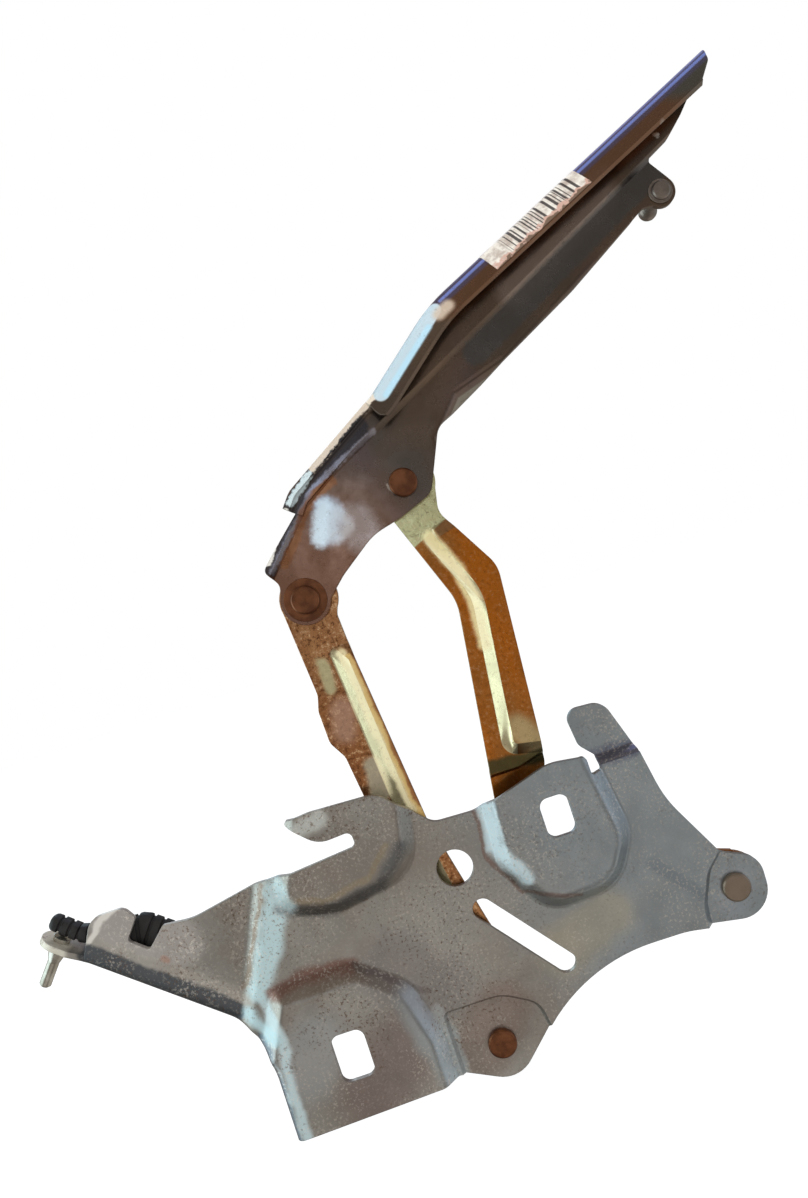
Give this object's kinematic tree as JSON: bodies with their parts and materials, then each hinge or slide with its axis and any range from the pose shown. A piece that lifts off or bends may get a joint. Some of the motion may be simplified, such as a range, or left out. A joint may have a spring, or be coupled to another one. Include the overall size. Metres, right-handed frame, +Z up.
{
  "type": "bonnet hinge",
  "caption": "Four-bar car bonnet hinge: pressed body bracket, two ribbed links and a folded bonnet arm on riveted, bushed pivots, with locating pin, buffer and ball stud.",
  "frame": {"origin": "centre of the round locating hole, on the bolting side of the bracket's web", "axes": "+X towards the front of the car, +Z up, +Y away from the bolting side"},
  "size_m": [0.4664, 0.046, 0.4557],
  "materials": {
    "bracket_paint": "gloss",
    "arm_paint": "gloss",
    "link_paint": "gloss",
    "rivet_steel": "gloss",
    "bush_bronze": "matt",
    "washer_steel": "matt",
    "stud_steel": "satin",
    "zinc_steel": "satin",
    "buffer_rubber": "matt",
    "label_paper": "matt"
  },
  "bodies": {
    "base": {"base_plate": "bracket_paint", "lower_front_rivet": "rivet_steel", "lower_rear_rivet": "rivet_steel", "locating_pin": "zinc_steel", "buffer": "buffer_rubber"},
    "front_link": {"front_link": "link_paint", "lower_front_bush": "bush_bronze", "lower_front_washer": "washer_steel", "upper_front_bush": "bush_bronze", "upper_front_washer": "washer_steel"},
    "bonnet_arm": {"bonnet_arm": "arm_paint", "upper_front_rivet": "rivet_steel", "upper_front_head_washer": "rivet_steel", "upper_rear_rivet_head": "rivet_steel", "ball_stud": "stud_steel", "part_label": "label_paper"},
    "rear_link": {"rear_link": "link_paint", "lower_rear_bush": "bush_bronze", "lower_rear_washer": "washer_steel", "upper_rear_bush": "bush_bronze", "upper_rear_washer": "washer_steel", "upper_rear_rivet_tail": "rivet_steel"}
  },
  "joints": [
    {"name": "front_link_swing", "type": "hinge", "parent": "base", "child": "front_link", "pos_m": [-0.0053, 0.0092, -0.0915], "axis": [0, -1, 0], "range_deg": [0, 32]},
    {"name": "bonnet_arm_swing", "type": "hinge", "parent": "front_link", "child": "bonnet_arm", "pos_m": [-0.0286, 0.0092, 0.1509], "axis": [0, -1, 0], "range_deg": [-58, 0]},
    {"name": "rear_link_swing", "type": "hinge", "parent": "base", "child": "rear_link", "pos_m": [0.1316, 0.0122, -0.0556], "axis": [0, -1, 0], "range_deg": [0, 30.2]}
  ],
  "couplings": [
    {"joint": "bonnet_arm_swing", "follows": "front_link_swing", "ratio": -1.81},
    {"joint": "rear_link_swing", "follows": "front_link_swing", "ratio": 0.94}
  ]
}
